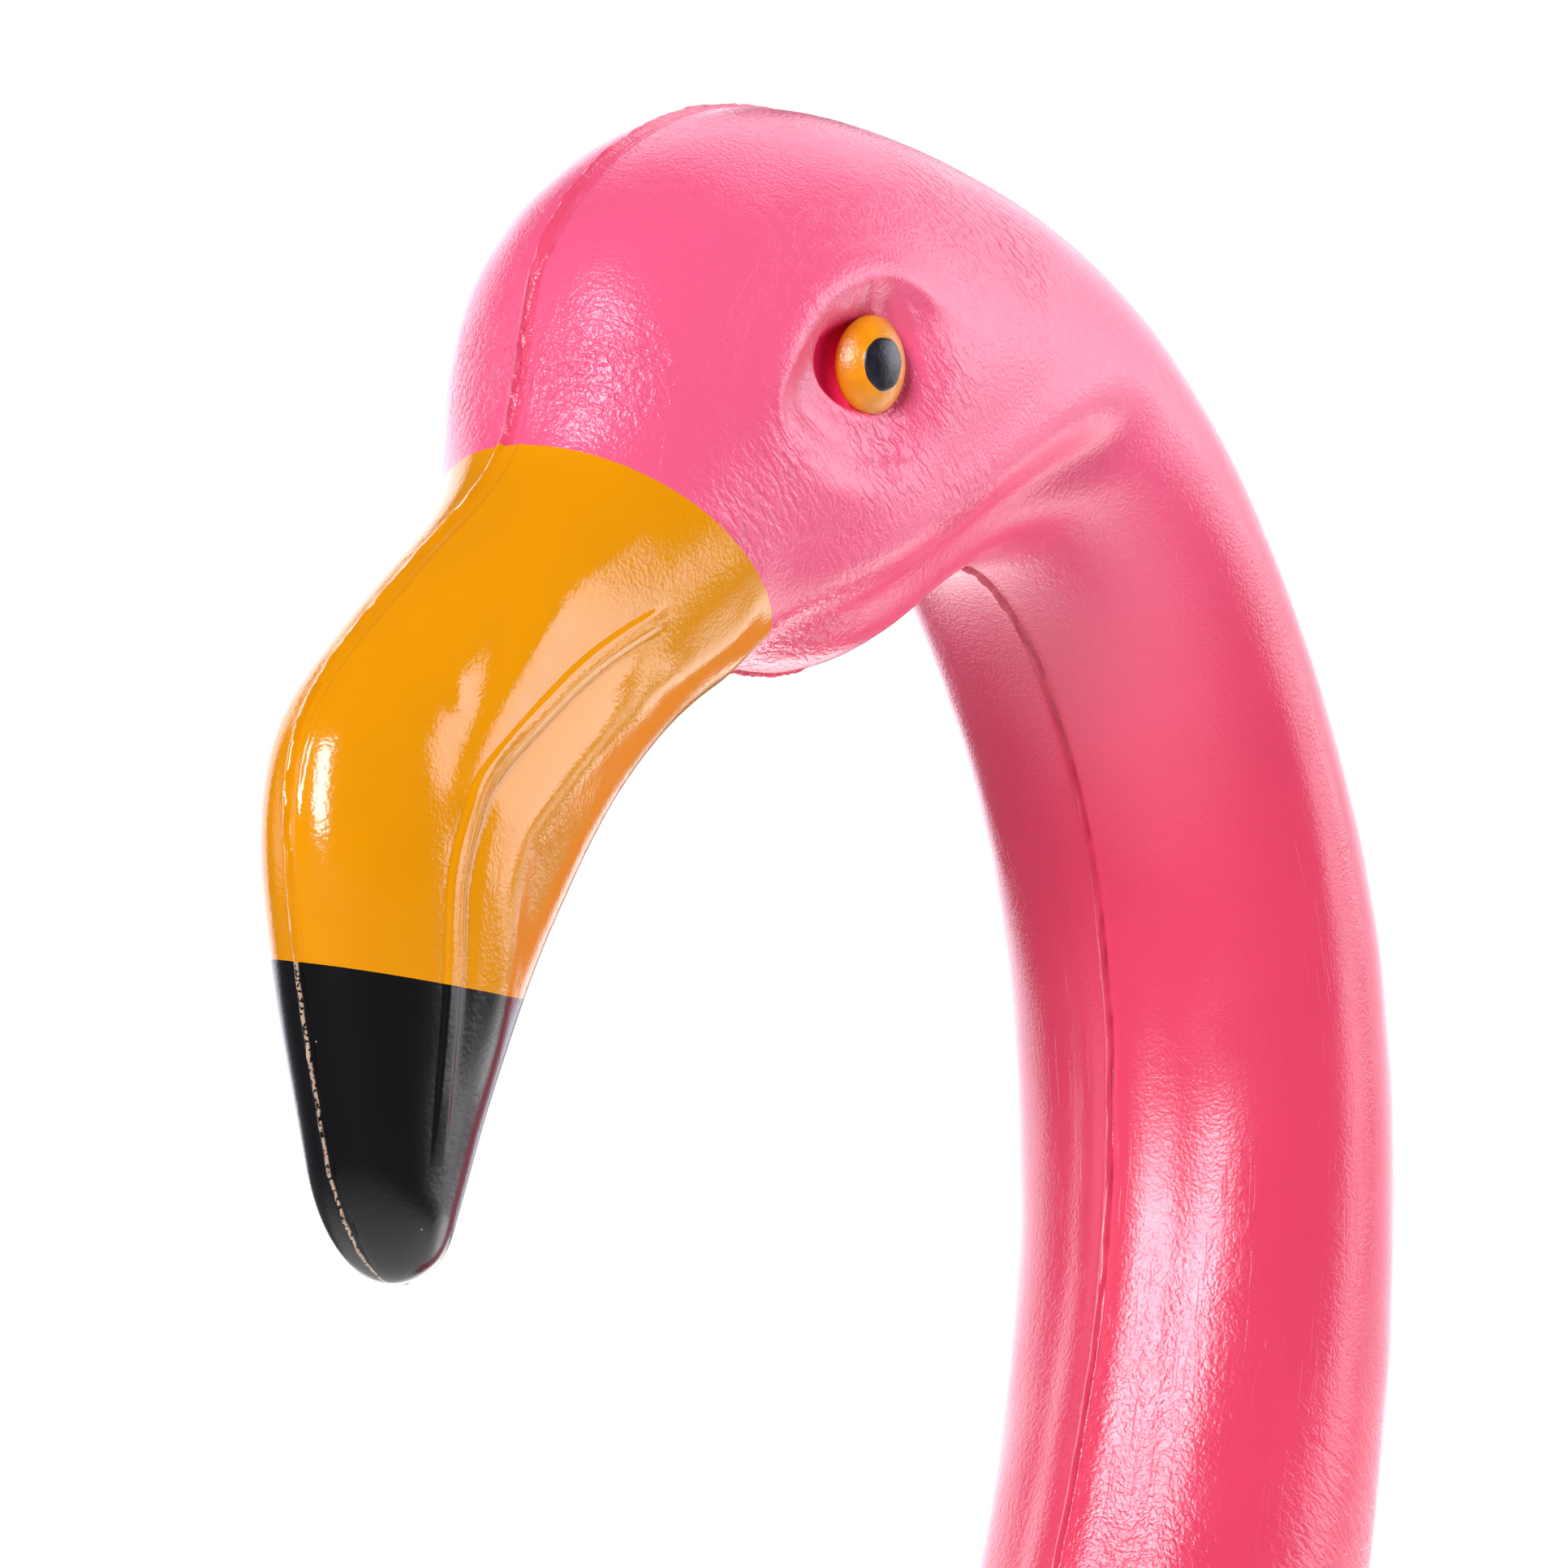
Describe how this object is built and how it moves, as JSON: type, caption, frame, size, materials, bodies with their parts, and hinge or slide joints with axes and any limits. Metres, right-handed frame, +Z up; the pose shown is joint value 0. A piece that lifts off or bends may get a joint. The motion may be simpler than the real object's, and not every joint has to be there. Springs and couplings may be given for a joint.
{
  "type": "flamingo bust lawn ornament",
  "caption": "Head and curved neck of a moulded plastic flamingo, hooked bill pointing down, cut flat below so that it stands.",
  "frame": {"origin": "centre of the flat cut underside of the neck", "axes": "+Z up, the bird faces -Y, +X is its left side and the parting seam lies in the plane X = 0"},
  "size_m": [0.0486, 0.1964, 0.241],
  "materials": {
    "painted_plastic": "pink moulded plastic with a glossy orange bill, a satin black bill tip and orange eyes with black pupils, all painted on"
  },
  "bodies": {
    "root": {"flamingo_bust": "painted_plastic"}
  },
  "joints": []
}
